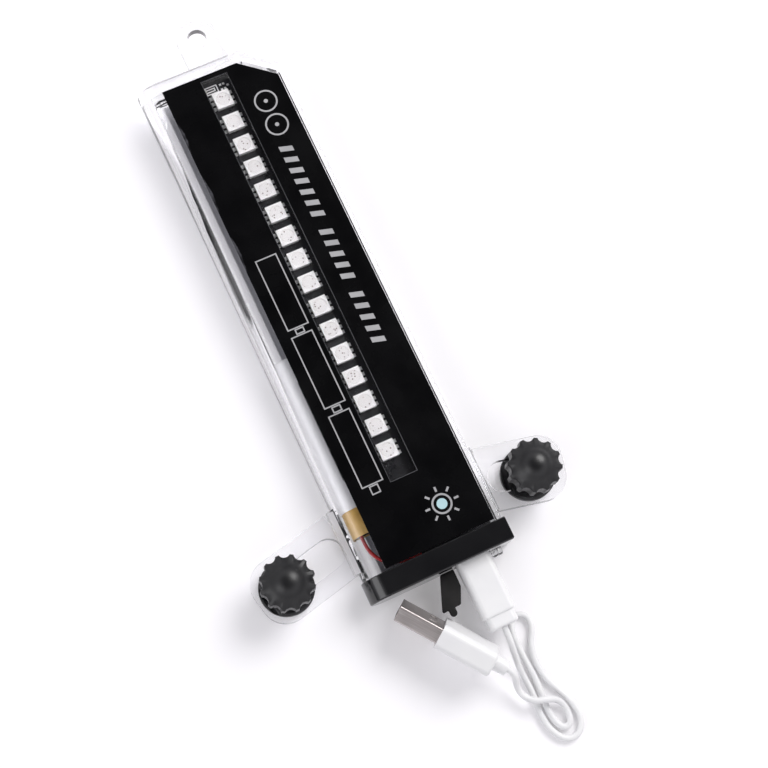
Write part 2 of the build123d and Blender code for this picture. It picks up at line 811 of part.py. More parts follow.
clamp_pieces = (
    (knob, "knob"), (insert, "knob_insert"), (washer, "washer"),
    (foot, "clamp_foot"), (bolt, "clamp_bolt"),
)
for side, word, clamp_reach in ((-1, "left", left_clamp_reach), (1, "right", right_clamp_reach)):
    for piece, name in clamp_pieces:
        finish(slot_plane(side, clamp_reach, 0).location * piece.part, f"{word}_{name}")

# Wires from the battery to the control board, and from the board to both strips
wire_top = control_top + wire_diameter / 2
tape_exit_y = tape_end_y + cell_board_thickness
red_points = (
    (-15.6, tape_exit_y, 7.5), (-15.9, -64.6, 7.9), (-14.9, -68.4, 7.8), (-12.2, -71.4, 7.1),
    (-8.6, -72.6, 6.2), (-4.9, -72.8, wire_top), (-2.6, -72.8, wire_top),
)
white_points = (
    (-12.2, tape_exit_y, 7.5), (-12.6, -64.2, 7.9), (-12.0, -67.2, 7.6), (-9.8, -69.3, 6.7),
    (-6.9, -70.2, 6.0), (-4.2, -70.4, wire_top), (-2.6, -70.4, wire_top),
)
for name, points in (("red_wire", red_points), ("white_wire", white_points)):
    wire, wire_line, wire_radii = tube(points, wire_diameter)
    finish(wire, name)
    print(name, "length", round(wire_line.length, 1), "radii", [round(radius, 1) for radius in wire_radii])

strip_wires = []
strip_wire_gap = strip_wire_diameter / 2
drop_y = carrier_bar_y - carrier_bar_width
landing_y = drop_y - carrier_bar_width
strip_wire_x = [strip_x + (turn - 1) * strip_wire_spacing for turn in range(strip_wire_count)]
for wire_x in strip_wire_x:
    start_y = carrier_end_y + carrier_bar_width / 2
    front_z = board_top + strip_wire_gap
    wire, wire_line, wire_radii = tube(
        ((wire_x, start_y, front_z), (wire_x, drop_y, front_z), (wire_x, landing_y, wire_top),
         (wire_x, landing_y - carrier_bar_width / 2, control_top + strip_wire_gap)),
        strip_wire_diameter,
    )
    strip_wires.append(wire)
    rear_z = case_thickness - front_z
    wire, wire_line, wire_radii = tube(
        ((wire_x, start_y, rear_z), (wire_x, drop_y, rear_z),
         (wire_x, landing_y, carrier_low - strip_wire_gap - fit_gap),
         (wire_x, landing_y - carrier_bar_width / 2, carrier_low - strip_wire_gap)),
        strip_wire_diameter,
    )
    strip_wires.append(wire)
finish(Compound(children=strip_wires), "strip_wires")

# Charge plug, pushed into the charging socket
plug_nose_y = recess_floor_y - slip_gap
plug_tail_y = plug_nose_y - plug_body_length
with BuildPart() as plug_body:
    with BuildSketch(Plane.XZ.offset(-plug_nose_y)):
        with Locations((port_x, port_z)):
            RectangleRounded(plug_body_width, plug_body_height, plug_body_radius)
    extrude(amount=plug_body_length)
    fillet(plug_body.faces().sort_by(Axis.Y)[0].edges(), plug_body_radius / 2)
    fillet(plug_body.faces().sort_by(Axis.Y)[-1].edges(), plug_body_radius / 4)
    with BuildSketch(Plane.XZ.offset(-plug_tail_y)):
        with Locations((port_x, port_z)):
            RectangleRounded(plug_neck_width, plug_neck_height, plug_body_radius)
    extrude(amount=plug_neck_length)
    fillet(plug_body.faces().sort_by(Axis.Y)[0].edges(), plug_body_radius / 2)
finish(plug_body.part, "charge_plug_body")

with BuildPart() as plug_shell:
    plug_tip_y = plug_nose_y + plug_shell_length
    with BuildSketch(Plane.XZ.offset(-plug_tip_y)):
        with Locations((port_x, port_z)):
            RectangleRounded(plug_shell_width, plug_shell_height, plug_shell_radius)
            RectangleRounded(plug_shell_width - 2 * plug_shell_wall,
                             plug_shell_height - 2 * plug_shell_wall,
                             plug_shell_radius - plug_shell_wall, mode=Mode.SUBTRACT)
    extrude(amount=plug_shell_length)
finish(plug_shell.part, "charge_plug_shell")

# Supply plug, lying on its narrow edge and leaning
lean = radians(supply_lean)
heading = radians(supply_heading)
supply_forward = Vector(cos(heading), sin(heading), 0)
supply_aside = Vector(sin(heading), -cos(heading), 0)
supply_up = supply_aside * sin(lean) + Vector(0, 0, 1) * cos(lean)
supply_z = (
    (supply_body_thickness / 2 - supply_body_radius) * sin(lean)
    + (supply_body_height / 2 - supply_body_radius) * cos(lean)
    + supply_body_radius
)
supply_joint = Vector(port_x - supply_joint_from_port, end_y - supply_joint_reach, supply_z)


def supply_plane(along):
    # A plane square to the plug, its local X pointing up the leaning side
    origin = supply_joint + supply_forward * along
    return Plane(origin=origin, x_dir=supply_up, z_dir=supply_forward)


with BuildPart() as supply_body:
    with BuildSketch(supply_plane(0)):
        RectangleRounded(supply_body_height, supply_body_thickness, supply_body_radius)
    extrude(amount=supply_body_length)
    supply_axis = Axis(supply_joint, supply_forward)
    fillet(supply_body.faces().sort_by(supply_axis)[-1].edges(), supply_body_radius / 2)
    with BuildSketch(supply_plane(supply_body_length)):
        Circle(supply_neck_start_radius)
    with BuildSketch(supply_plane(supply_body_length + supply_neck_length)):
        Circle(supply_neck_end_radius)
    loft()
    with BuildSketch(supply_plane(0)):
        RectangleRounded(supply_shell_height, supply_shell_thickness, supply_shell_radius)
    extrude(amount=supply_root, mode=Mode.SUBTRACT)
finish(supply_body.part, "supply_plug_body")

supply_length = supply_shell_length + supply_root
with BuildPart() as supply_shell:
    with BuildSketch(supply_plane(-supply_shell_length)):
        RectangleRounded(supply_shell_height, supply_shell_thickness, supply_shell_radius)
        RectangleRounded(supply_shell_height - 2 * supply_shell_wall, supply_shell_thickness - 2 * supply_shell_wall,
                         supply_shell_radius - supply_shell_wall, mode=Mode.SUBTRACT)
    extrude(amount=supply_length)
    latch_plane = Plane(origin=supply_plane(-supply_latch_from_body).origin, x_dir=supply_up,
                        z_dir=supply_plane(0).y_dir)
    with BuildSketch(latch_plane):
        with Locations((supply_latch_spacing / 2, 0), (-supply_latch_spacing / 2, 0)):
            Rectangle(supply_latch_hole, supply_latch_hole)
    extrude(amount=supply_shell_thickness, both=True, mode=Mode.SUBTRACT)
finish(supply_shell.part, "supply_plug_shell")

tongue_width = supply_shell_height - 2 * supply_shell_wall - 2 * fit_gap
tongue_shift = supply_shell_thickness / 2 - supply_shell_wall - fit_gap - supply_tongue_thickness / 2
with BuildPart() as supply_tongue:
    with BuildSketch(supply_plane(-supply_shell_length + supply_shell_wall)):
        with Locations((0, -tongue_shift)):
            Rectangle(tongue_width, supply_tongue_thickness)
    extrude(amount=supply_length - supply_shell_wall)
finish(supply_tongue.part, "supply_plug_tongue")

with BuildPart() as contacts:
    with BuildSketch(supply_plane(-supply_shell_length + supply_contact_width)):
        contact_y = -tongue_shift + supply_tongue_thickness / 2 + supply_contact_thickness / 2
        with Locations((0, contact_y)):
            with GridLocations(supply_contact_spacing, 0, 4, 1):
                Rectangle(supply_contact_width, supply_contact_thickness)
    extrude(amount=supply_contact_length)
finish(contacts.part, "supply_plug_contacts")

# Charging cord: out of the charge plug, twice round a small tied hank, over it and into the supply plug
lay = cord_diameter / 2 + cord_floor_gap
cord_start = (port_x, plug_tail_y - plug_neck_length - cord_floor_gap, port_z)
supply_exit = supply_plane(supply_body_length + supply_neck_length + cord_floor_gap).origin
supply_lead = supply_plane(supply_body_length + supply_neck_length + 1.4 * cord_diameter).origin
cord_points = [
    cord_start, (9.3, -103.8, 6.4), (9.0, -107.6, 5.0), (8.9, -111.4, 2.4),
    (9.2, -115.2, lay), (9.4, -120.2, lay), (8.7, -125.6, lay), (9.4, -130.8, lay),
    (12.3, -134.9, lay), (16.5, -134.8, lay), (18.9, -130.9, lay), (18.3, -126.2, lay),
    (16.2, -121.8, lay), (14.3, -117.2, lay), (13.9, -112.2, lay), (14.8, -107.2, lay),
    (17.4, -103.6, lay), (17.3, -99.6, lay), (13.9, -98.2, lay), (11.6, -101.6, lay),
    (11.3, -106.6, lay), (11.6, -112.0, lay), (11.9, -117.8, lay), (11.2, -123.6, lay),
    (11.4, -128.8, lay), (13.2, -131.9, lay), (15.6, -131.0, lay), (16.1, -127.4, lay),
    (15.1, -124.5, 2.1), (12.6, -122.9, 3.9), (8.6, -121.9, 3.9), (6.3, -119.4, 3.4),
    (5.6, -116.2, 4.0), tuple(supply_lead), tuple(supply_exit),
]
cord, cord_line, cord_radii = tube(cord_points, cord_diameter)
finish(cord, "charge_cord")
print("cord radii", [round(radius, 1) for radius in cord_radii])
cord_area = pi * cord_diameter**2 / 4
print("cord length", round(cord_line.length, 1), "volume over section times length",
      round(cord.volume / (cord_area * cord_line.length), 4))
samples = [cord_line @ (step / 600) for step in range(601)]
step_length = cord_line.length / 600
skip = int(2.5 * cord_diameter / step_length)
least = min(
    (samples[i] - samples[j]).length - cord_diameter
    for i in range(0, 601, 2)
    for j in range(i + skip, 601)
)
print("least gap of the cord to itself", round(least, 2), "lowest", round(min(p.Z for p in samples), 2))
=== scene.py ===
# %% [markdown]
# # A clear spoke light with knob clamps
#
# The object is a flat bicycle light that straddles the spokes of a wheel. A clear case holds a row of
# white lamps under a black label, a glossy black cap closes one end, and two slotted ears carry knobbed
# clamps. A white charging lead is plugged into the cap. The solid model comes in as a fixed frame in
# metres, and this lesson adds the camera, the light, the finishes and the small pieces that only looks
# need.

import bmesh
import bpy
import json
from math import atan2, cos, hypot, pi, radians, sin
from mathutils import Matrix, Vector


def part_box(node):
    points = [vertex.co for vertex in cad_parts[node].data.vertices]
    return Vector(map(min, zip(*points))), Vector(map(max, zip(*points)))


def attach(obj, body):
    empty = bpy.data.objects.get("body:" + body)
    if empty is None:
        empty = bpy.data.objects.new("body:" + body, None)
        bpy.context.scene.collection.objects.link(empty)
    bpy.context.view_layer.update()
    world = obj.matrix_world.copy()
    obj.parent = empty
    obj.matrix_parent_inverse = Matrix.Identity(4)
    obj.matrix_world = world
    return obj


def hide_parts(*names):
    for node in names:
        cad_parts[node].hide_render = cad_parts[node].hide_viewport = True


MM = 0.001
MICRON = 0.000001
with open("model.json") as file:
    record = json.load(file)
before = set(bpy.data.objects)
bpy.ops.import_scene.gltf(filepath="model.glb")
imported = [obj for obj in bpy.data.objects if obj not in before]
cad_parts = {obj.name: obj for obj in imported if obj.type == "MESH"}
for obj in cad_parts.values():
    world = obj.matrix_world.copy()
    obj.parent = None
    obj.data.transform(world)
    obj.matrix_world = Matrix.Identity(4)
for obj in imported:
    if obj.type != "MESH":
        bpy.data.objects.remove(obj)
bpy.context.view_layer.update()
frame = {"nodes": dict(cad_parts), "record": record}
nodes = frame["nodes"]

# %% [markdown]
# ## The camera
#
# The photograph looks down on the light from the cap's side. The lens and the place of the camera were
# worked out from the corners of the label and the even spacing of the lamps, so straight lines of the
# render fall on those of the photograph. The axes of the view are written out and put in a matrix.

# %% Camera
SENSOR_WIDTH = 36.0
LENS = 77.34
NEAREST_SEEN = 10 * MM
CAMERA_PLACE = (-0.0687, -0.1111, 0.4543)
LOOKING = (0.1668, 0.1853, -0.9684)
TO_THE_RIGHT = (0.9019, -0.4256, 0.0739)
camera_data = bpy.data.cameras.new("camera")
camera_data.sensor_width = SENSOR_WIDTH
camera_data.lens = LENS
camera_data.clip_start = NEAREST_SEEN
camera = bpy.data.objects.new("camera", camera_data)
bpy.context.scene.collection.objects.link(camera)
forward = Vector(LOOKING).normalized()
rightward = Vector(TO_THE_RIGHT).normalized()
upward = rightward.cross(forward).normalized()
turn = Matrix((rightward, upward, -forward)).transposed().to_4x4()
camera.matrix_world = Matrix.Translation(CAMERA_PLACE) @ turn
bpy.context.scene.camera = camera
print("camera height", round(camera.matrix_world.translation.z, 3))

# %% [markdown]
# ## The charging lead
#
# The lead is a thin white cord. From the plug in the port it lies in a small hank of two loops, and its last
# stretch passes over the hank to the large plug. A cord bends smoothly everywhere, so it is one NURBS spline
# of order three with the route's own points as its control points, in millimetres. LAY is the height of a
# strand that lies on the table. The bevel is a circle of radius one, and each point's radius scales it to
# the cord's own, so that the curve's box is no wider than the cord.

# %% Cord
CORD_DIAMETER = 0.0018
TUBE_ROUNDNESS = 6
STEPS_PER_POINT = 10
SPLINE_ORDER = 3
LAY = 0.95
cord_route = [
    (9.4, -100.35, 6.5), (9.3, -103.8, 6.4), (9.0, -107.6, 5.0), (8.9, -111.4, 2.4),
    (9.2, -115.2, LAY), (9.4, -120.2, LAY), (8.7, -125.6, LAY), (9.4, -130.8, LAY),
    (12.3, -134.9, LAY), (16.5, -134.8, LAY), (18.9, -130.9, LAY), (18.3, -126.2, LAY),
    (16.2, -121.8, LAY), (14.3, -117.2, LAY), (13.9, -112.2, LAY), (14.8, -107.2, LAY),
    (17.4, -103.6, LAY), (17.3, -99.6, LAY), (13.9, -98.2, LAY), (11.6, -101.6, LAY),
    (11.3, -106.6, LAY), (11.6, -112.0, LAY), (11.9, -117.8, LAY), (11.2, -123.6, LAY),
    (11.4, -128.8, LAY), (13.2, -131.9, LAY), (15.6, -131.0, LAY), (16.1, -127.4, LAY),
    (15.1, -124.5, 2.1), (12.6, -122.9, 3.9), (8.6, -121.9, 3.9), (6.3, -119.4, 3.4),
    (5.6, -116.2, 4.0), (6.37, -112.80, 7.49), (4.89, -110.82, 7.49),
]
print("route points", len(cord_route))


def spline_piece(name, points_mm, diameter):
    curve = bpy.data.curves.new(name, "CURVE")
    curve.dimensions = "3D"
    curve.bevel_depth = 1.0
    curve.bevel_resolution = TUBE_ROUNDNESS
    curve.resolution_u = STEPS_PER_POINT
    curve.use_fill_caps = True
    spline = curve.splines.new("NURBS")
    spline.points.add(len(points_mm) - 1)
    for point, place in zip(spline.points, points_mm):
        point.co = (*(v * MM for v in place), 1)
        point.radius = diameter / 2
    spline.order_u = SPLINE_ORDER
    spline.use_endpoint_u = True
    piece = bpy.data.objects.new(name, curve)
    bpy.context.scene.collection.objects.link(piece)
    return piece


lead = spline_piece("lead_cord", cord_route, CORD_DIAMETER)
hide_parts("charge_cord")
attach(lead, "cable")

# %% [markdown]
# ## The stage
#
# The light lies on a white studio table. The table keeps the soft shadow, and its paper is a little
# brighter to the camera, to mirrors and to what is seen through clear plastic, so it reads as plain
# white there without any more light on the object. A few helpers come first, because every material is
# built with them: each input of a shader node is fed either a number or the output of another node.

# %% Helpers for materials


def new_material(name):
    material = bpy.data.materials.new(name)
    material.use_nodes = True
    tree = material.node_tree
    return material, tree, tree.nodes["Principled BSDF"]


def feed(tree, socket, value):
    if hasattr(value, "links"):
        tree.links.new(value, socket)
    else:
        socket.default_value = value


def feed_all(tree, node, **values):
    for name, value in values.items():
        feed(tree, node.inputs[name.replace("_", " ")], value)
    return node


def add_node(tree, kind, **values):
    return feed_all(tree, tree.nodes.new("ShaderNode" + kind), **values)


def math_node(tree, operation, *values):
    node = add_node(tree, "Math")
    node.operation = operation
    for socket, value in zip(node.inputs, values):
        feed(tree, socket, value)
    return node.outputs[0]


# %% Table
TABLE_SIZE = 3.0
TABLE_SQUARES = 8
TABLE_TOP = -0.15 * MM
PAPER_LIFT = 0.2


def deselect():
    if bpy.context.object and bpy.context.object.mode != "OBJECT":
        bpy.ops.object.mode_set(mode="OBJECT")
    bpy.ops.object.select_all(action="DESELECT")


deselect()
bpy.ops.mesh.primitive_grid_add(x_subdivisions=TABLE_SQUARES, y_subdivisions=TABLE_SQUARES,
                                size=TABLE_SIZE, location=(0, 0, TABLE_TOP))
table = bpy.context.object
table.name = "table"
bpy.ops.object.transform_apply(location=True, rotation=True, scale=True)

table_paper, paper_tree, paper_surface = new_material("table_paper")
feed_all(paper_tree, paper_surface, Base_Color=(0.83, 0.82, 0.84, 1), Roughness=0.9, Specular_IOR_Level=0.1)
paper_rays = add_node(paper_tree, "LightPath").outputs
seen = math_node(paper_tree, "MAXIMUM", paper_rays["Is Camera Ray"], paper_rays["Is Glossy Ray"])
seen_through = math_node(paper_tree, "MAXIMUM", seen, paper_rays["Is Transmission Ray"])
paper_glow = add_node(paper_tree, "Emission", Color=(1.0, 0.99, 1.0, 1),
                      Strength=math_node(paper_tree, "MULTIPLY", seen_through, PAPER_LIFT))
paper_sum = add_node(paper_tree, "AddShader")
paper_tree.links.new(paper_surface.outputs[0], paper_sum.inputs[0])
paper_tree.links.new(paper_glow.outputs[0], paper_sum.inputs[1])
feed_all(paper_tree, paper_tree.nodes["Material Output"], Surface=paper_sum.outputs[0])
table.data.materials.append(table_paper)
print("table", [round(v, 2) for v in table.dimensions])

# %% [markdown]
# ## The light
#
# The shadows in the photograph are wide and soft and fall to the lower left, so the main lamp is a large
# panel to the upper right. A weaker panel on the other side and a pale sky with a trace of lavender fill
# the shadows. The sky is dim straight above, as behind the photographer, so flat black faces stay black,
# and dim at the horizon, which draws grey lines along the edges of the clear plastic. The camera itself
# sees a plain white backdrop behind the table.

# %% Lamps
PANEL_SIZE = 0.6
LAMP_AIM = Vector((0, -0.03, 0))


def panel(name, place, power, colour):
    data = bpy.data.lights.new(name, "AREA")
    data.shape = "DISK"
    data.size = PANEL_SIZE
    data.energy = power
    data.color = colour
    lamp = bpy.data.objects.new(name, data)
    bpy.context.scene.collection.objects.link(lamp)
    aim = (LAMP_AIM - Vector(place)).to_track_quat("-Z", "Y")
    lamp.matrix_world = Matrix.Translation(place) @ aim.to_matrix().to_4x4()
    print(name, place, power)


panel("main_panel", (0.62, 0.22, 0.72), 6.2, (1.0, 0.99, 0.98))
panel("fill_panel", (-0.7, -0.2, 0.5), 1.3, (0.98, 0.98, 1.0))

# %% Sky
HORIZON_BAND = (0.04, 0.4)
HORIZON_LIGHT = 0.12
ZENITH_BAND = (0.9, 0.7)
ZENITH_LIGHT = 0.03
NOISE_SPAN = (0.3, 0.7)


def ranged(tree, value, low, high, band=NOISE_SPAN):
    start, end = band
    node = add_node(tree, "MapRange", Value=value, From_Min=start, From_Max=end, To_Min=low, To_Max=high)
    return node.outputs["Result"]


sky = bpy.data.worlds.new("studio_sky")
bpy.context.scene.world = sky
sky.use_nodes = True
sky_tree = sky.node_tree
sky_place = add_node(sky_tree, "TexCoord")
up = add_node(sky_tree, "SeparateXYZ", Vector=sky_place.outputs["Object"]).outputs["Z"]
over_horizon = ranged(sky_tree, up, HORIZON_LIGHT, 1.0, HORIZON_BAND)
round_zenith = ranged(sky_tree, up, ZENITH_LIGHT, 1.0, ZENITH_BAND)
sky_strength = math_node(sky_tree, "MULTIPLY", over_horizon, round_zenith)
sky_rays = add_node(sky_tree, "LightPath").outputs
sky_seen = math_node(sky_tree, "MAXIMUM", sky_strength, sky_rays["Is Camera Ray"])
feed_all(sky_tree, sky_tree.nodes["Background"], Color=(0.95, 0.94, 0.98, 1), Strength=sky_seen)
bpy.context.scene.view_settings.view_transform = "Standard"
print("sky", sky.name)

# %% [markdown]
# ## Shared surface effects
#
# Two effects come back in many finishes. Moulding grain is a very fine uneven skin, made of two layers of
# noise, and it gives a height for the bump and a mask for the tone. Handling marks are the faint smears
# and hairline scratches that change how glossy a place is. Each is a node group with named sockets, built
# once, so that every material sets only its own scale and strength.

# %% Moulding grain group
BROAD_FINENESS = 0.06
BROAD_HEIGHT = 0.5


def group_with_scale(name, scale, outputs):
    group = bpy.data.node_groups.new(name, "ShaderNodeTree")
    made = group.interface.new_socket(name="Scale", in_out="INPUT", socket_type="NodeSocketFloat")
    made.default_value = scale
    for socket in outputs:
        group.interface.new_socket(name=socket, in_out="OUTPUT", socket_type="NodeSocketFloat")
    start = group.nodes.new("NodeGroupInput")
    end = group.nodes.new("NodeGroupOutput")
    place = add_node(group, "TexCoord").outputs["Object"]
    return group, start.outputs["Scale"], place, end


grain, grain_scale, grain_place, grain_out = group_with_scale("moulding_grain", 2500.0, ["Height", "Mask"])
broad_scale = math_node(grain, "MULTIPLY", grain_scale, BROAD_FINENESS)
fine = add_node(grain, "TexNoise", Vector=grain_place, Scale=grain_scale, Detail=3.0).outputs["Fac"]
broad = add_node(grain, "TexNoise", Vector=grain_place, Scale=broad_scale, Detail=2.0).outputs["Fac"]
both = math_node(grain, "ADD", fine, math_node(grain, "MULTIPLY", broad, BROAD_HEIGHT))
feed_all(grain, grain_out, Height=both, Mask=broad)
print("group", grain.name)

# %% Handling marks group
HAIR_STRETCH = (9.0, 0.35, 9.0)
HAIR_TURN = (0.0, 0.0, 0.5)
HAIR_FINENESS = 6.0
HAIR_BAND = (0.66, 0.74)
marks, marks_scale, marks_place, marks_out = group_with_scale("handling_marks", 60.0, ["Smear", "Scratch"])
smear = add_node(marks, "TexNoise", Vector=marks_place, Scale=marks_scale, Detail=4.0, Roughness=0.65)
stretch = add_node(marks, "Mapping", Vector=marks_place, Scale=HAIR_STRETCH, Rotation=HAIR_TURN)
hair = add_node(marks, "TexNoise", Vector=stretch.outputs["Vector"], Detail=2.0,
                Scale=math_node(marks, "MULTIPLY", marks_scale, HAIR_FINENESS))
scratch = ranged(marks, hair.outputs["Fac"], 0.0, 1.0, HAIR_BAND)
feed_all(marks, marks_out, Smear=smear.outputs["Fac"], Scratch=scratch)
print("group", marks.name)

# %% [markdown]
# ## Moulded, rubber and metal finishes
#
# Most pieces are mouldings or small metal parts whose colour is even but never flat. One builder mixes two
# close tones by the grain's mask, lets the smears move the roughness, and feeds the grain's height to a
# bump. The numbers that are the same all over a surface are set on the shader's own sockets.

# %% Builder for plain finishes
MARKS_SCALE = 90.0
SCRATCH_DULLING = 0.06
COAT_ROUGHNESS = 0.05
finishes = {}


def place_group(tree, group, scale):
    node = add_node(tree, "Group")
    node.node_tree = group
    node.inputs["Scale"].default_value = scale
    return node.outputs


def colour_mix(tree, mask):
    node = add_node(tree, "Mix")
    node.data_type = "RGBA"
    return feed_all(tree, node, Factor=mask)


def two_tones(tree, mask, dark, light):
    node = feed_all(tree, colour_mix(tree, mask), A=(*dark, 1), B=(*light, 1))
    return node.outputs["Result"]


def worn_roughness(tree, use, rough, dulling):
    scratches = math_node(tree, "MULTIPLY", use["Scratch"], dulling)
    return math_node(tree, "ADD", ranged(tree, use["Smear"], *rough), scratches)


def add_relief(tree, surface, height, depth):
    relief = add_node(tree, "Bump", Height=height, Distance=depth)
    feed_all(tree, surface, Normal=relief.outputs["Normal"])


def plain_finish(slot, dark, light, rough, fineness, depth, metal=0.0, coat=0.0, specular=0.5):
    material, tree, surface = new_material(slot)
    skin = place_group(tree, grain, fineness)
    use = place_group(tree, marks, MARKS_SCALE)
    feed_all(tree, surface,
             Base_Color=two_tones(tree, ranged(tree, skin["Mask"], 0.0, 1.0), dark, light),
             Roughness=worn_roughness(tree, use, rough, SCRATCH_DULLING),
             Metallic=metal, Coat_Weight=coat, Coat_Roughness=COAT_ROUGHNESS, Specular_IOR_Level=specular)
    add_relief(tree, surface, skin["Height"], depth * MICRON)
    finishes[slot] = material
    return tree, surface


# %% Plain finishes, each with its two tones, least and most roughness, fineness and depth in microns
for *look, extras in (
    ("black_gloss", (0.006, 0.006, 0.007), (0.011, 0.011, 0.012), (0.09, 0.2), 900, 2, {"coat": 0.4}),
    ("black_satin", (0.005, 0.005, 0.006), (0.011, 0.011, 0.012), (0.3, 0.42), 3200, 12, {}),
    ("black_rubber", (0.008, 0.008, 0.008), (0.017, 0.016, 0.016), (0.5, 0.66), 4200, 10,
     {"specular": 0.22}),
    ("black_frame", (0.01, 0.01, 0.01), (0.018, 0.018, 0.018), (0.38, 0.5), 2600, 8, {}),
    ("strip_board", (0.006, 0.006, 0.008), (0.013, 0.013, 0.015), (0.24, 0.36), 1800, 4, {}),
    ("black_foam", (0.012, 0.012, 0.012), (0.04, 0.04, 0.04), (0.85, 0.97), 5200, 40, {"specular": 0.2}),
    ("black_jacket", (0.01, 0.01, 0.01), (0.02, 0.02, 0.02), (0.38, 0.5), 2400, 6, {}),
    ("red_jacket", (0.42, 0.012, 0.015), (0.6, 0.03, 0.03), (0.3, 0.42), 2400, 6, {}),
    ("lamp_white", (0.76, 0.75, 0.74), (0.85, 0.84, 0.83), (0.3, 0.42), 2200, 6, {}),
    ("white_plastic", (0.82, 0.82, 0.83), (0.88, 0.88, 0.88), (0.28, 0.42), 1600, 5, {}),
    ("white_jacket", (0.82, 0.82, 0.83), (0.88, 0.88, 0.88), (0.36, 0.5), 2600, 8, {}),
    ("white_insert", (0.78, 0.78, 0.78), (0.88, 0.88, 0.88), (0.35, 0.5), 1600, 5, {}),
    ("solder", (0.6, 0.6, 0.6), (0.8, 0.8, 0.79), (0.4, 0.6), 3600, 30, {"metal": 0.7}),
    ("brass", (0.6, 0.42, 0.16), (0.76, 0.58, 0.28), (0.2, 0.34), 2400, 6, {"metal": 1.0}),
    ("gold", (0.75, 0.52, 0.2), (0.88, 0.68, 0.34), (0.14, 0.24), 1600, 2, {"metal": 1.0}),
):
    plain_finish(*look, **extras)
print("plain finishes", len(finishes))

# %% [markdown]
# ## Brushed and rolled metal
#
# Rolled or brushed sheet has long fine lines one way. A noise stretched along one axis gives them, as tone,
# roughness and a very shallow relief. The plug's shell is drawn from sheet with lines along it, so its
# pattern is turned by the plug's own heading with a Mapping node.

# %% Brushed metal
BRUSH_FINENESS = 5200.0
BRUSH_STRETCH = (40.0, 1.0, 1.0)
BRUSH_DEPTH = 4 * MICRON
METAL_MARKS_SCALE = 120.0
PLUG_HEADING = radians(-53.4)


def brushed_finish(slot, dark, light, rough, heading):
    material, tree, surface = new_material(slot)
    place = add_node(tree, "TexCoord").outputs["Object"]
    along = add_node(tree, "Mapping", Vector=place, Rotation=(0, 0, heading), Scale=BRUSH_STRETCH)
    along.vector_type = "TEXTURE"
    brush = add_node(tree, "TexNoise", Vector=along.outputs["Vector"], Scale=BRUSH_FINENESS, Detail=4.0)
    lines = brush.outputs["Fac"]
    use = place_group(tree, marks, METAL_MARKS_SCALE)
    feed_all(tree, surface,
             Base_Color=two_tones(tree, ranged(tree, lines, 0.0, 1.0), dark, light),
             Roughness=ranged(tree, use["Smear"], *rough), Metallic=1.0)
    add_relief(tree, surface, lines, BRUSH_DEPTH)
    finishes[slot] = material
    print("brushed", slot)


brushed_finish("steel", (0.46, 0.46, 0.47), (0.66, 0.66, 0.68), (0.24, 0.38), 0.0)
brushed_finish("plug_steel", (0.42, 0.38, 0.37), (0.6, 0.56, 0.55), (0.36, 0.5), PLUG_HEADING)

# %% [markdown]
# ## Cell foil and tape
#
# The battery is a soft pouch of laminated foil, dull grey with gentle dents, and its end is wrapped in a
# crinkled amber tape. A low, broad grain that is deeper than on a moulding makes the dents and crinkles.

# %% Foil and tape
plain_finish("cell_foil", (0.82, 0.82, 0.83), (0.9, 0.9, 0.91), (0.34, 0.5), 500, 80, metal=0.1)
plain_finish("yellow_tape", (0.62, 0.38, 0.1), (0.9, 0.66, 0.3), (0.2, 0.4), 700, 60)
print("foil and tape")

# %% [markdown]
# ## Clear plastic
#
# The case and the button are polished clear plastic. A transmitting Principled shader gives the bright and
# dark lines at every edge, which are all that one sees of the ears. Real light passes through the plastic
# and lightens its shadow, so a shadow ray meets a slightly grey see-through shader instead. A few faint
# smears and hairlines keep the skin from looking empty.

# %% Clear plastic
CLEAR_TINT = (0.985, 0.985, 0.99, 1)
CLEAR_SHADOW = (0.9, 0.9, 0.92, 1)
CLEAR_ROUGH = (0.0, 0.03)
CLEAR_DULLING = 0.05
CLEAR_DEPTH = 10 * MICRON
CLEAR_MARKS_SCALE = 45.0
ACRYLIC_IOR = 1.49
clear_shell, clear_tree, clear_surface = new_material("clear_shell")
use = place_group(clear_tree, marks, CLEAR_MARKS_SCALE)
feed_all(clear_tree, clear_surface, Base_Color=CLEAR_TINT, Transmission_Weight=1.0, IOR=ACRYLIC_IOR,
         Roughness=worn_roughness(clear_tree, use, CLEAR_ROUGH, CLEAR_DULLING))
add_relief(clear_tree, clear_surface, use["Smear"], CLEAR_DEPTH)
passing = add_node(clear_tree, "BsdfTransparent", Color=CLEAR_SHADOW)
clear_rays = add_node(clear_tree, "LightPath").outputs
choose = add_node(clear_tree, "MixShader", Fac=clear_rays["Is Shadow Ray"])
clear_tree.links.new(clear_surface.outputs[0], choose.inputs[1])
clear_tree.links.new(passing.outputs[0], choose.inputs[2])
feed_all(clear_tree, clear_tree.nodes["Material Output"], Surface=choose.outputs[0])
finishes["clear_shell"] = clear_shell
print("clear plastic")

# %% [markdown]
# ## The label film
#
# The label is a deep black film stuck into a recess of the clear case. Near its left edge at the lug end
# the film is painted with grey scalloped patches. They are a mask on the Object coordinates: a band at the
# edge whose width waves along the label, broken up by noise.

# %% Label film
PATCHES_START_X = -14.15 * MM
PATCHES_FROM_Y = 14 * MM
WAVE_RADIANS_PER_METRE = 330.0
WAVE_WIDTH = 0.5 * MM
MIDDLE_WIDTH = -0.1 * MM
RAGGED_WIDTH = 0.8 * MM
RAG_SCALE = 320.0
MOTTLE_BAND = (0.38, 0.62)
FAINTEST_MOTTLE = 0.25
PATCH_GREY = (0.06, 0.06, 0.068)


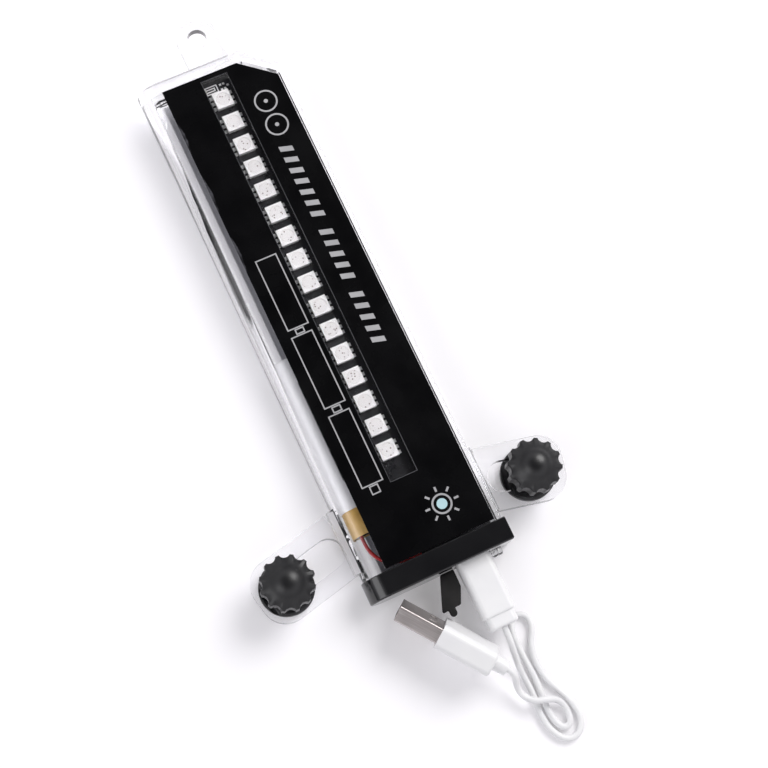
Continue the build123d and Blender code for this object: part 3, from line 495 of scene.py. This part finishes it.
def tint_where(tree, surface, mask, tint):
    blend = colour_mix(tree, mask)
    under = surface.inputs["Base Color"].links[0].from_socket
    feed_all(tree, blend, A=under, B=(*tint, 1))
    feed_all(tree, surface, Base_Color=blend.outputs["Result"])


label_tree, label_surface = plain_finish(
    "label_film", (0.0022, 0.0022, 0.0026), (0.004, 0.004, 0.0045), (0.2, 0.34), 1400, 3, specular=0.06)
place = add_node(label_tree, "TexCoord").outputs["Object"]
apart = add_node(label_tree, "SeparateXYZ", Vector=place).outputs
from_edge = math_node(label_tree, "SUBTRACT", apart["X"], PATCHES_START_X)
phase = math_node(label_tree, "MULTIPLY", apart["Y"], WAVE_RADIANS_PER_METRE)
wave = math_node(label_tree, "SINE", phase)
width = math_node(label_tree, "ADD", math_node(label_tree, "MULTIPLY", wave, WAVE_WIDTH), MIDDLE_WIDTH)
rag = add_node(label_tree, "TexNoise", Vector=place, Scale=RAG_SCALE, Detail=3.0).outputs["Fac"]
ragged = math_node(label_tree, "ADD", width, math_node(label_tree, "MULTIPLY", rag, RAGGED_WIDTH))
inside = math_node(label_tree, "LESS_THAN", from_edge, ragged)
far_end = math_node(label_tree, "GREATER_THAN", apart["Y"], PATCHES_FROM_Y)
patch = math_node(label_tree, "MULTIPLY", inside, far_end)
mottle = ranged(label_tree, rag, FAINTEST_MOTTLE, 1.0, MOTTLE_BAND)
tint_where(label_tree, label_surface, math_node(label_tree, "MULTIPLY", patch, mottle), PATCH_GREY)
print("label film")

# %% [markdown]
# ## Lamp resin
#
# Each lamp is a white square housing with a round dish of clouded resin. Through the resin a few chips
# show as small darker dots, which a Voronoi pattern gives.

# %% Lamp resin
CHIP_SCALE = 1050.0
CHIP_EDGE = (0.12, 0.3)
CHIP_COLOUR = (0.2, 0.15, 0.14)
resin_tree, resin_surface = plain_finish(
    "lamp_resin", (0.72, 0.7, 0.69), (0.8, 0.78, 0.77), (0.12, 0.2), 900, 4, coat=0.2)
resin_place = add_node(resin_tree, "TexCoord").outputs["Object"]
dots = add_node(resin_tree, "TexVoronoi", Vector=resin_place, Scale=CHIP_SCALE)
tint_where(resin_tree, resin_surface, ranged(resin_tree, dots.outputs["Distance"], 1.0, 0.0, CHIP_EDGE),
           CHIP_COLOUR)
print("lamp resin")

# %% [markdown]
# ## Inks and films
#
# The print is a matt grey ink with one pale blue dot. The window's cut edge and the label's pale back are
# films of their own.

# %% Inks and films
plain_finish("print_grey", (0.34, 0.34, 0.35), (0.42, 0.42, 0.43), (0.4, 0.5), 1800, 2)
plain_finish("print_pale_blue", (0.42, 0.62, 0.66), (0.5, 0.7, 0.73), (0.4, 0.5), 1800, 2)
plain_finish("window_edge", (0.05, 0.05, 0.055), (0.11, 0.11, 0.12), (0.3, 0.4), 900, 2)
plain_finish("pale_film", (0.8, 0.8, 0.81), (0.88, 0.88, 0.88), (0.4, 0.5), 900, 2)
print("finishes", sorted(finishes))

# %% [markdown]
# ## Finishes on the solid pieces
#
# Every node of the solid model keeps its shape and takes the finish of its own material slot.

# %% Put the finishes on the nodes
subparts = frame["record"]["subparts"]
for entry in subparts:
    piece = nodes[entry["node"]]
    finish = finishes[entry["material_slot"]]
    if piece.material_slots:
        for material_slot in piece.material_slots:
            material_slot.material = finish
    else:
        piece.data.materials.append(finish)
lead.data.materials.append(finishes["white_jacket"])
print("painted nodes", len(subparts))

# %% [markdown]
# ## Rounded edges on the mouldings
#
# A real moulding has no knife edges: every edge is rounded a little and catches a thin line of light. The
# solid model has sharp edges, so a copy of each moulding is merged, its flat faces are cleaned, and a bevel
# picks the real edges by their angle. The large faces then rule the shading, so that flats look flat and
# rounds look round. The copy stands for the solid piece and rides on its body.

# %% Helpers for pieces that stand for a node
MERGE_DISTANCE = 2 * MICRON
SHARP_ANGLE = 32
FLATS_RULE = 100
bodies = frame["record"]["behaviour"]["bodies"]
body_of_node = {name: body for body, names in bodies.items() for name in names}
slot_of_node = {entry["node"]: entry["material_slot"] for entry in subparts}


def only(piece):
    deselect()
    piece.select_set(True)
    bpy.context.view_layer.objects.active = piece


def edit_all_of(piece):
    only(piece)
    bpy.ops.object.mode_set(mode="EDIT")
    bpy.ops.mesh.select_all(action="SELECT")


def dress(piece, body, slot, *replaced):
    only(piece)
    bpy.ops.object.transform_apply(location=True, rotation=True, scale=True)
    piece.data.materials.clear()
    piece.data.materials.append(finishes[slot])
    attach(piece, body)
    if replaced:
        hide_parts(*replaced)


def apply_modifier(piece, kind, **settings):
    only(piece)
    modifier = piece.modifiers.new(kind.lower(), kind)
    for key, value in settings.items():
        setattr(modifier, key, value)
    bpy.ops.object.modifier_apply(modifier=modifier.name)


def copy_of_node(node, name):
    copy = bpy.data.objects.new(name, nodes[node].data.copy())
    bpy.context.scene.collection.objects.link(copy)
    return copy


def clean_flats(piece, flat_angle):
    edit_all_of(piece)
    bpy.ops.mesh.remove_doubles(threshold=MERGE_DISTANCE)
    bpy.ops.mesh.dissolve_limited(angle_limit=radians(flat_angle))
    bpy.ops.object.mode_set(mode="OBJECT")


def face_outwards(piece):
    edit_all_of(piece)
    bpy.ops.mesh.normals_make_consistent(inside=False)
    bpy.ops.object.mode_set(mode="OBJECT")


def smooth_rounds(piece, sharp_angle):
    only(piece)
    bpy.ops.object.shade_smooth_by_angle(angle=radians(sharp_angle))


def smooth_round_flats(piece):
    smooth_rounds(piece, SHARP_ANGLE)
    apply_modifier(piece, "WEIGHTED_NORMAL", weight=FLATS_RULE, keep_sharp=True)


# %% Rounded mouldings
FLAT_ANGLE = 0.8
BEVEL_ANGLE = 28.0
BEVEL_SEGMENTS = 2
EDGE_WIDTHS_MM = {
    "end_cap": 0.2, "port_cover": 0.22, "push_button": 0.08,
    "charge_plug_body": 0.3, "supply_plug_body": 0.25,
    "left_clamp_foot": 0.15, "right_clamp_foot": 0.15,
    "supply_plug_shell": 0.05, "supply_plug_tongue": 0.06,
}
for node, width in EDGE_WIDTHS_MM.items():
    copy = copy_of_node(node, "dressed_" + node)
    clean_flats(copy, FLAT_ANGLE)
    apply_modifier(copy, "BEVEL", width=width * MM, segments=BEVEL_SEGMENTS, limit_method="ANGLE",
                   angle_limit=radians(BEVEL_ANGLE), use_clamp_overlap=True)
    smooth_round_flats(copy)
    dress(copy, body_of_node[node], slot_of_node[node], node)
    print(node, "faces", len(copy.data.polygons))

# %% [markdown]
# ## What the cord carries
#
# The cord starts where it leaves the small plug and carries the large plug at its far end.

# %% [markdown]
# ## One clear moulding
#
# The solid model keeps both ears as pieces of their own, but on the real light the case and its ears are one
# moulding. Where clear pieces only touch, their shared faces would show as dark lines. So the three are
# joined by a boolean union, and the one clear piece stands for all three.

# %% Case and ears in one
CLEAR_FLAT_ANGLE = 0.5
moulding = copy_of_node("clear_case", "clear_moulding")
for node in ("left_ear", "right_ear"):
    ear = copy_of_node(node, "joined_" + node)
    apply_modifier(moulding, "BOOLEAN", operation="UNION", solver="EXACT", object=ear)
    bpy.data.objects.remove(ear)
clean_flats(moulding, CLEAR_FLAT_ANGLE)
face_outwards(moulding)
smooth_round_flats(moulding)
dress(moulding, "case", "clear_shell", "clear_case", "left_ear", "right_ear")
print("moulding faces", len(moulding.data.polygons))

# %% [markdown]
# ## Labels with a pale back
#
# The labels are printed on pale film: from inside the clear case their backs look white and throw light
# about. So each label is two thin layers, the black print outside and the pale film inside, both made
# from the label's own outline by squeezing a copy towards one face.

# %% Label layers
FILM_SHARE = 0.12


def label_layer(name, node, low_share, high_share, finish, *replaced):
    low, high = (corner[2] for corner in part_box(node))
    layer = copy_of_node(node, name)
    edit_all_of(layer)
    bpy.ops.transform.resize(value=(1, 1, high_share - low_share), center_override=(0, 0, low))
    bpy.ops.transform.translate(value=(0, 0, low_share * (high - low)))
    bpy.ops.object.mode_set(mode="OBJECT")
    dress(layer, "case", finish, *replaced)


label_layer("front_print_film", "front_label", FILM_SHARE, 1, "label_film", "front_label")
label_layer("rear_print_film", "rear_label", 0, 1 - FILM_SHARE, "label_film", "rear_label")
label_layer("front_pale_film", "front_label", 0, FILM_SHARE, "pale_film")
label_layer("rear_pale_film", "rear_label", 1 - FILM_SHARE, 1, "pale_film")
print("label layers", FILM_SHARE)

# %% [markdown]
# ## The knobs
#
# Each clamp has a black knob with twelve scallops round its rim, a crisp rim edge and a low dome on top.
# It is made as on a lathe: a circle is extruded and resized from ring to ring, from the bore outwards and
# over the top, and the pole is merged. The scallops come last, by drawing the outer rings in towards the
# axis, so that the sides stay straight. A faint lip is left beside each scallop. Each ring has a radius, a
# height and its share of the scallops' depth.

# %% Knob rings
KNOB_SIDES = 288
SCALLOPS = 12
RIM = 7.65
SCALLOP_REACH = 8.55
SCALLOP_RADIUS = 1.8
LIP_POWER = 14
knob_rings = [
    (0.4, 8.2, 0), (2.65, 8.2, 0), (2.7, 6.4, 0), (4.0, 6.4, 0), (4.05, 0.1, 0), (4.15, 0.0, 0),
    (6.1, 0.0, 0), (6.2, 0.1, 0), (6.2, 0.55, 0), (6.3, 0.62, 0.6), (7.4, 0.62, 1), (7.58, 0.7, 1),
    (RIM, 0.9, 1), (RIM, 2.6, 1), (RIM, 4.4, 1), (RIM, 5.95, 1), (7.62, 6.15, 1), (7.5, 6.3, 1),
    (7.3, 6.42, 1), (6.9, 6.62, 0.8), (6.3, 6.9, 0.45), (5.7, 7.2, 0.15), (5.2, 7.5, 0),
    (4.75, 7.8, 0), (4.3, 8.15, 0), (3.7, 8.7, 0), (3.0, 9.2, 0), (2.2, 9.6, 0), (1.4, 9.85, 0),
    (0.7, 9.96, 0), (0.25, 9.99, 0),
]
print("knob rings", len(knob_rings))


def turned_rings(name, rings, axis_x, axis_y, low):
    deselect()
    radius, height, _ = rings[0]
    bpy.ops.mesh.primitive_circle_add(vertices=KNOB_SIDES, radius=radius * MM, fill_type="NOTHING",
                                      location=(axis_x, axis_y, low + height * MM))
    piece = bpy.context.object
    piece.name = name
    bpy.ops.object.transform_apply(location=True, rotation=True, scale=True)
    bpy.ops.object.mode_set(mode="EDIT")
    bpy.ops.mesh.select_all(action="SELECT")
    for (radius, height, _), (next_radius, next_height, _) in zip(rings, rings[1:]):
        rise = (next_height - height) * MM
        growth = next_radius / radius
        bpy.ops.mesh.extrude_region_move(TRANSFORM_OT_translate={"value": (0, 0, rise)})
        bpy.ops.transform.resize(value=(growth, growth, 1), center_override=(axis_x, axis_y, low))
    bpy.ops.mesh.merge(type="CENTER")
    bpy.ops.mesh.select_all(action="DESELECT")
    bpy.ops.object.mode_set(mode="OBJECT")
    return piece


def close_lowest_pole(piece, axis_x, axis_y, radius):
    only(piece)
    bpy.ops.object.mode_set(mode="EDIT")
    mesh = bmesh.from_edit_mesh(piece.data)
    for vertex in mesh.verts:
        reach = hypot(vertex.co.x - axis_x, vertex.co.y - axis_y)
        vertex.select = 0 < reach < radius and vertex.is_boundary
    mesh.select_flush(True)
    bmesh.update_edit_mesh(piece.data)
    bpy.ops.mesh.merge(type="CENTER")
    bpy.ops.object.mode_set(mode="OBJECT")
    face_outwards(piece)


def scallop_share(angle):
    step = 2 * pi / SCALLOPS
    off = (angle + step / 2) % step - step / 2
    across = SCALLOP_REACH * sin(off)
    if abs(across) >= SCALLOP_RADIUS:
        return 1.0
    reach = SCALLOP_REACH * cos(off) - (SCALLOP_RADIUS**2 - across**2) ** 0.5
    if reach < RIM:
        return reach / RIM
    return (2 / (1 + (RIM / reach) ** LIP_POWER)) ** (1 / LIP_POWER)


# %% Knobs on both ears
EAR_ROOT_X = 20.65
EAR_ROOT_Y = -61.5
EAR_SWEEP = radians(12.3)
KNOB_FROM_ROOT = {"left": 19.5, "right": 14.8}
KNOB_SHARP_ANGLE = 30
POLE_REACH = 0.5 * MM
scallop_of_ring = {(round(radius, 2), round(height, 2)): share for radius, height, share in knob_rings}
for word, side in (("left", -1), ("right", 1)):
    x = side * (EAR_ROOT_X + KNOB_FROM_ROOT[word] * cos(EAR_SWEEP)) * MM
    y = (EAR_ROOT_Y - KNOB_FROM_ROOT[word] * sin(EAR_SWEEP)) * MM
    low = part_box(word + "_knob")[0][2]
    knob = turned_rings(word + "_grip", knob_rings, x, y, low)
    close_lowest_pole(knob, x, y, POLE_REACH)
    first_scallop = -EAR_SWEEP if side > 0 else pi + EAR_SWEEP
    for vertex in knob.data.vertices:
        across = Vector((vertex.co.x - x, vertex.co.y - y))
        ring = (round(across.length / MM, 2), round((vertex.co.z - low) / MM, 2))
        depth = scallop_of_ring.get(ring, 0)
        if depth:
            share = 1 - depth * (1 - scallop_share(atan2(across.y, across.x) - first_scallop))
            vertex.co.x = x + across.x * share
            vertex.co.y = y + across.y * share
    smooth_rounds(knob, KNOB_SHARP_ANGLE)
    dress(knob, word + "_knob_body", "black_satin", word + "_knob")
    print(word, "knob faces", len(knob.data.polygons))

# %% [markdown]
# ## Printing on the labels
#
# The label carries thin grey line printing: a chain of three charge-level boxes, a row of slanted bars, two
# plain rings, and a sign for light, which is a ring with eight rays round a pale blue dot. Each is a flat
# shape, inset to a line, and raised by a hair so that it lies on the film like ink.

# %% Flat ink shapes
INK_HEIGHT = 0.015
DISC_SIDES = 64
ink_shapes = []


def inset_to_line(line):
    bpy.ops.object.mode_set(mode="EDIT")
    bpy.ops.mesh.select_all(action="SELECT")
    bpy.ops.mesh.inset(thickness=line * MM, depth=0)
    bpy.ops.mesh.delete(type="FACE")
    bpy.ops.object.mode_set(mode="OBJECT")


def ink_frame(left, right, low, high, line):
    deselect()
    middle = ((left + right) / 2 * MM, (low + high) / 2 * MM, 0)
    bpy.ops.mesh.primitive_plane_add(size=1, location=middle)
    shape = bpy.context.object
    shape.scale = ((right - left) * MM, (high - low) * MM, 1)
    bpy.ops.object.transform_apply(location=True, rotation=True, scale=True)
    inset_to_line(line)
    ink_shapes.append(shape)


def ink_disc(x, y, radius):
    deselect()
    bpy.ops.mesh.primitive_circle_add(vertices=DISC_SIDES, radius=radius * MM, fill_type="NGON",
                                      location=(x * MM, y * MM, 0))
    bpy.ops.object.transform_apply(location=True, rotation=True, scale=True)
    ink_shapes.append(bpy.context.object)


def ink_ring(x, y, radius, line):
    ink_disc(x, y, radius)
    inset_to_line(line)


def ink_outline(corners):
    mesh = bpy.data.meshes.new("ink")
    mesh.from_pydata([(x * MM, y * MM, 0) for x, y in corners], [], [list(range(len(corners)))])
    shape = bpy.data.objects.new("ink", mesh)
    bpy.context.scene.collection.objects.link(shape)
    ink_shapes.append(shape)


def raise_ink(name, face_z, slot, height, downwards):
    deselect()
    for shape in ink_shapes:
        shape.select_set(True)
    bpy.context.view_layer.objects.active = ink_shapes[0]
    bpy.ops.object.join()
    ink = bpy.context.object
    ink.name = name
    ink_shapes.clear()
    edit_all_of(ink)
    bpy.ops.mesh.extrude_region_move(TRANSFORM_OT_translate={"value": (0, 0, height * MM)})
    bpy.ops.mesh.select_all(action="SELECT")
    bpy.ops.transform.translate(value=(0, 0, face_z - (height * MM if downwards else 0)))
    bpy.ops.object.mode_set(mode="OBJECT")
    face_outwards(ink)
    dress(ink, "case", slot)
    print(name, "faces", len(ink.data.polygons))


# %% Charge-level boxes, bars and rings
PRINT_LINE = 0.36
BOX_SIDES = (-10.75, -4.25)
BOX_ENDS = ((20.05, -2.25), (-4.25, -26.55), (-28.75, -50.85))
TERMINAL_SIDES = (-8.85, -6.15)
TERMINAL_ENDS = ((-2.4, -4.1), (-26.7, -28.6), (-51.0, -53.6))
BAR_LEFT = 9.45
BAR_RIGHT = 13.25
FIRST_BAR_Y = 48.6
BARS_PER_GROUP = (7, 5, 5)
BAR_HEIGHT = 1.6
BAR_SLANT = 1.1
BAR_STEP = 3.55
GROUP_GAP = 2.4
RING_X = 12.0
RING_YS = (62.9, 55.1)
RING_RADIUS = 3.4
RING_LINE = 0.5
HUB_RADIUS = 0.6


def print_boxes():
    for high, low in BOX_ENDS:
        ink_frame(*BOX_SIDES, low, high, PRINT_LINE)
    for high, low in TERMINAL_ENDS:
        ink_frame(*TERMINAL_SIDES, low, high, PRINT_LINE)


def print_bars():
    high = FIRST_BAR_Y
    for count in BARS_PER_GROUP:
        for _ in range(count):
            ink_outline([(BAR_LEFT, high), (BAR_RIGHT, high - BAR_SLANT),
                         (BAR_RIGHT, high - BAR_SLANT - BAR_HEIGHT), (BAR_LEFT, high - BAR_HEIGHT)])
            high -= BAR_STEP
        high -= GROUP_GAP


def print_rings():
    for ring_y in RING_YS:
        ink_ring(RING_X, ring_y, RING_RADIUS, RING_LINE)
        ink_disc(RING_X, ring_y, HUB_RADIUS)


print("boxes", len(BOX_ENDS), "bars", sum(BARS_PER_GROUP), "rings", len(RING_YS))


# %% Sign for light, and both labels printed
LIGHT_CENTRE = Vector((7.45, -63.45))
LIGHT_RADIUS = 2.9
LIGHT_LINE = 0.55
DOT_RADIUS = 1.5
RAYS = 8
RAY_START = 3.6
RAY_END = 5.0
RAY_HALF_WIDTH = 0.3


def print_light_sign():
    ink_ring(*LIGHT_CENTRE, LIGHT_RADIUS, LIGHT_LINE)
    for ray in range(RAYS):
        angle = 2 * pi * ray / RAYS
        along = Vector((cos(angle), sin(angle)))
        aside = Vector((-along.y, along.x)) * RAY_HALF_WIDTH
        start = LIGHT_CENTRE + along * RAY_START
        end = LIGHT_CENTRE + along * RAY_END
        ink_outline([start - aside, end - aside, end + aside, start + aside])


label_faces = {"front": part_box("front_label")[1][2], "rear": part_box("rear_label")[0][2]}
for side, face in label_faces.items():
    print_boxes()
    print_bars()
    print_rings()
    print_light_sign()
    raise_ink(side + "_label_print", face, "print_grey", INK_HEIGHT, side == "rear")
    ink_disc(*LIGHT_CENTRE, DOT_RADIUS)
    raise_ink(side + "_light_dot", face, "print_pale_blue", INK_HEIGHT, side == "rear")

# %% [markdown]
# ## Metal ends on the lamp strips
#
# Above the first lamp the strip's cut end shows bare metal: two nested loops of track and a few square
# pads. They are thin flat shapes on the board, made in the same way as the print, and they are seen through
# the window of the label. A fine lighter line runs round the window, where the film was cut.

# %% Strip ends and window lines
BODY_THICKNESS = 13.0
BOARD_TOP = 9.4
TRACK_LOOPS = ((-2.3, 1.5, 72.0, 74.5), (-2.3, 0.7, 72.7, 73.8))
TRACK_LINE = 0.32
TRACK_HEIGHT = 0.05
PADS = ((2.5, 72.4), (3.5, 72.4), (2.5, 73.9), (3.5, 73.9), (4.5, 73.1))
PAD_HALF_WIDTH = 0.32
PAD_HALF_LENGTH = 0.3
PAD_LINE = 0.29
WINDOW_LEFT = -2.7
WINDOW_RIGHT = 5.24
WINDOW_LOW = -52.2
WINDOW_HIGH = 75.34
EDGE_REACH = 0.14
EDGE_LINE = 0.13
board_faces = {"front": BOARD_TOP * MM, "rear": (BODY_THICKNESS - BOARD_TOP) * MM}
for side in ("front", "rear"):
    for loop in TRACK_LOOPS:
        ink_frame(*loop, TRACK_LINE)
    for x, y in PADS:
        ink_frame(x - PAD_HALF_WIDTH, x + PAD_HALF_WIDTH, y - PAD_HALF_LENGTH, y + PAD_HALF_LENGTH, PAD_LINE)
    raise_ink(side + "_strip_end", board_faces[side], "solder", TRACK_HEIGHT, side == "rear")
    ink_frame(WINDOW_LEFT - EDGE_REACH, WINDOW_RIGHT + EDGE_REACH,
              WINDOW_LOW - EDGE_REACH, WINDOW_HIGH + EDGE_REACH, EDGE_LINE)
    raise_ink(side + "_window_line", label_faces[side], "window_edge", INK_HEIGHT / 2, side == "rear")

# %% [markdown]
# ## Wires inside the case
#
# The two battery wires are soft, so they are smooth NURBS tubes along the solid model's own points. The
# strip wires keep the solid model's shape.

# %% Wires
WIRE_DIAMETER = 1 * MM
EXIT_Y = -61.0
red_route = [(-15.6, EXIT_Y, 7.5), (-15.9, -64.6, 7.9), (-14.9, -68.4, 7.8), (-12.2, -71.4, 7.1),
             (-8.6, -72.6, 6.2), (-4.9, -72.8, 5.7), (-2.6, -72.8, 5.7)]
white_route = [(-12.2, EXIT_Y, 7.5), (-12.6, -64.2, 7.9), (-12.0, -67.2, 7.6), (-9.8, -69.3, 6.7),
               (-6.9, -70.2, 6.0), (-4.2, -70.4, 5.7), (-2.6, -70.4, 5.7)]
for name, points in (("red_wire", red_route), ("white_wire", white_route)):
    wire = spline_piece("soft_" + name, points, WIRE_DIAMETER)
    wire.data.materials.append(finishes[slot_of_node[name]])
    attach(wire, "case")
    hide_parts(name)
    print(name, "points", len(points))
